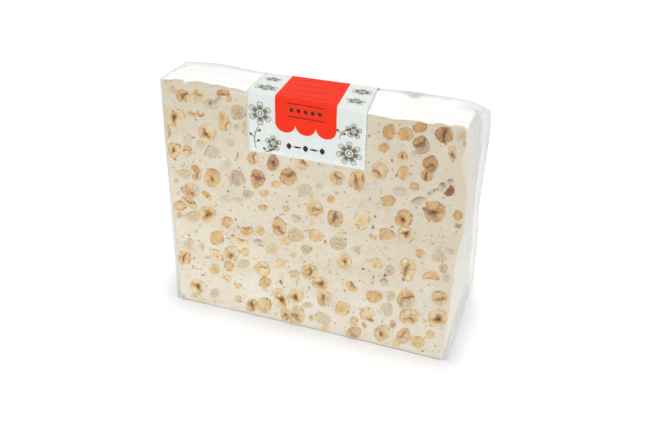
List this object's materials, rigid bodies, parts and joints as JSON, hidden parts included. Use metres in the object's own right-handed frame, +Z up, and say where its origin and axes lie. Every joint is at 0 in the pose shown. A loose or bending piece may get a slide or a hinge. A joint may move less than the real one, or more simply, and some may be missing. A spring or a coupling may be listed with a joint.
{
  "type": "wrapped nougat slab",
  "caption": "Upright block of crumbly hazelnut nougat with sawn faces, tightly wrapped in clear film, with a paper label folded over its top edge.",
  "frame": {"origin": "middle of the pack's bounding box, at the table the foot stands on", "axes": "+Z up, the sawn front with the label faces -Y, +X to the right seen from the front"},
  "size_m": [0.212, 0.0946, 0.1769],
  "materials": {
    "nougat_in_film": "cream nougat with cut hazelnuts under clear glossy film",
    "label_paper": "smooth pale coated paper"
  },
  "bodies": {
    "root": {"wrapped_slab": "nougat_in_film", "label": "label_paper"}
  },
  "joints": []
}
